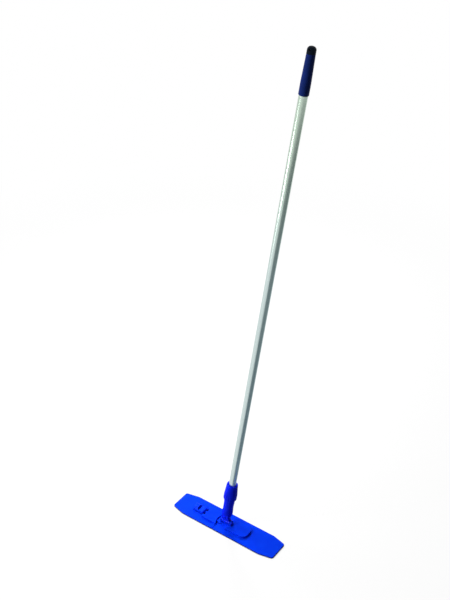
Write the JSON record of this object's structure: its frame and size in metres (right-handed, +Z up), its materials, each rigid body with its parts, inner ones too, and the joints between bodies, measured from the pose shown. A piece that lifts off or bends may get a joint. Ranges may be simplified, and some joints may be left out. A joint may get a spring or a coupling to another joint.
{
  "type": "flat mop",
  "caption": "Flat mop with a folding plate frame, foot pedal latch, universal joint, clamp collar and a long round pole with a tapered grip.",
  "frame": {"origin": "centre of the frame's underside, on the floor, with the frame flat and latched", "axes": "+X along the frame toward the right wing, +Y from the front to the back, +Z up from the floor"},
  "size_m": [0.4, 0.1288, 1.5956],
  "materials": {
    "blue_plastic": "satin",
    "navy_plastic": "satin",
    "black_plastic": "matte",
    "aluminium": "satin",
    "steel": "polished",
    "magnet": "polished"
  },
  "bodies": {
    "frame": {"right_wing": "blue_plastic", "hinge_rod": "steel", "joint_bracket": "blue_plastic", "bracket_screws": "steel", "latch_strikes": "steel", "tilt_pin": "blue_plastic", "tilt_clip": "blue_plastic", "tilt_washers": "black_plastic"},
    "folding_wing": {"left_wing": "blue_plastic", "latch_magnets": "magnet", "pedal_pin": "steel", "return_spring": "steel"},
    "pedal": {"foot_pedal": "blue_plastic"},
    "knuckle": {"joint_knuckle": "blue_plastic", "swing_washers": "black_plastic"},
    "socket": {"handle_socket": "blue_plastic", "swing_pin": "blue_plastic", "swing_clip": "blue_plastic"},
    "collar": {"clamp_collar": "blue_plastic"},
    "pole": {"pole_tube": "aluminium", "pole_plug": "black_plastic", "grip_sleeve": "navy_plastic", "end_cap": "black_plastic"}
  },
  "joints": [
    {"name": "wing_fold", "type": "hinge", "parent": "frame", "child": "folding_wing", "pos_m": [-0.031, 0, 0.0025], "axis": [0, -1, 0], "range_deg": [0, 105]},
    {"name": "pedal_press", "type": "hinge", "parent": "folding_wing", "child": "pedal", "pos_m": [-0.08, 0, 0.0063], "axis": [0, -1, 0], "range_deg": [0, 4.2], "deforming": ["return_spring"]},
    {"name": "handle_tilt", "type": "hinge", "parent": "frame", "child": "knuckle", "pos_m": [-0.0045, 0, 0.0175], "axis": [1, 0, 0], "range_deg": [-67, 72]},
    {"name": "handle_swing", "type": "hinge", "parent": "knuckle", "child": "socket", "pos_m": [-0.0045, 0.00109, 0.04148], "axis": [0, 0.999, -0.0455], "range_deg": [-67, 52.9]},
    {"name": "collar_turn", "type": "hinge", "parent": "socket", "child": "collar", "pos_m": [0.00784, 0.0056, 0.14061], "axis": [0.1234, 0.0451, 0.9913], "range_deg": [0, 90]},
    {"name": "pole_slide", "type": "slide", "parent": "socket", "child": "pole", "axis": [0.1234, 0.0451, 0.9913], "range_m": [0, 0.08]}
  ],
  "couplings": [
    {"joint": "pedal_press", "follows": "wing_fold", "ratio": 0.038}
  ]
}
